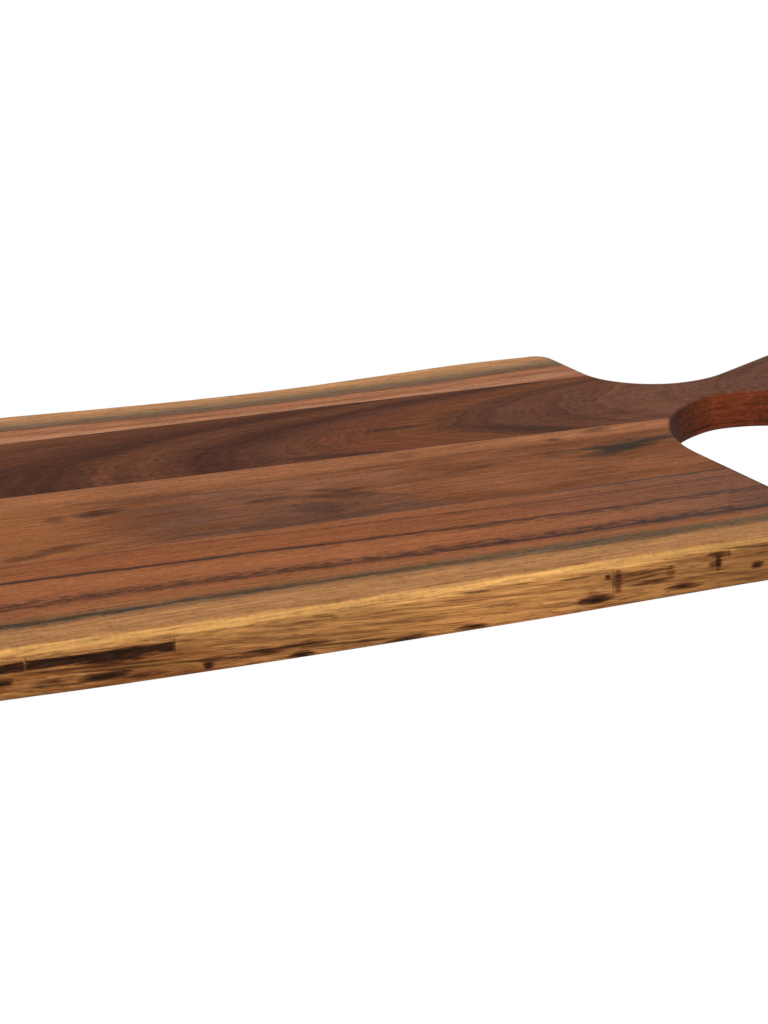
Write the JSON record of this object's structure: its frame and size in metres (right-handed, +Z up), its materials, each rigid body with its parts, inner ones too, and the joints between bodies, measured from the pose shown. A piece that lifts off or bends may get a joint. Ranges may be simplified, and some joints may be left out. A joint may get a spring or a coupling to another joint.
{
  "type": "paddle charcuterie board",
  "caption": "Paddle serving board glued from hardwood staves, with live edges on both long sides and a narrow neck that flares into a ring handle with a finger hole.",
  "frame": {"origin": "middle of the footprint, on the underside", "axes": "+X along the grain towards the ring of the handle, +Y towards the far live edge, +Z up out of the serving face"},
  "size_m": [0.582, 0.3099, 0.019],
  "materials": {
    "far_stave_wood": "oiled, satin, sapwood outside and reddish heartwood inside",
    "heart_stave_wood": "oiled, satin, dark brown with cathedral figure",
    "middle_stave_wood": "oiled, satin, mid brown with smoky streaks",
    "near_stave_wood": "oiled, satin, red striped heartwood and golden sapwood",
    "wood_glue": "cured glue line under oil"
  },
  "bodies": {
    "root": {"far_stave": "far_stave_wood", "heart_stave": "heart_stave_wood", "middle_stave": "middle_stave_wood", "near_stave": "near_stave_wood", "far_ring_cheek": "far_stave_wood", "near_ring_cheek": "middle_stave_wood", "far_glue_line": "wood_glue", "middle_glue_line": "wood_glue", "near_glue_line": "wood_glue"}
  },
  "joints": []
}
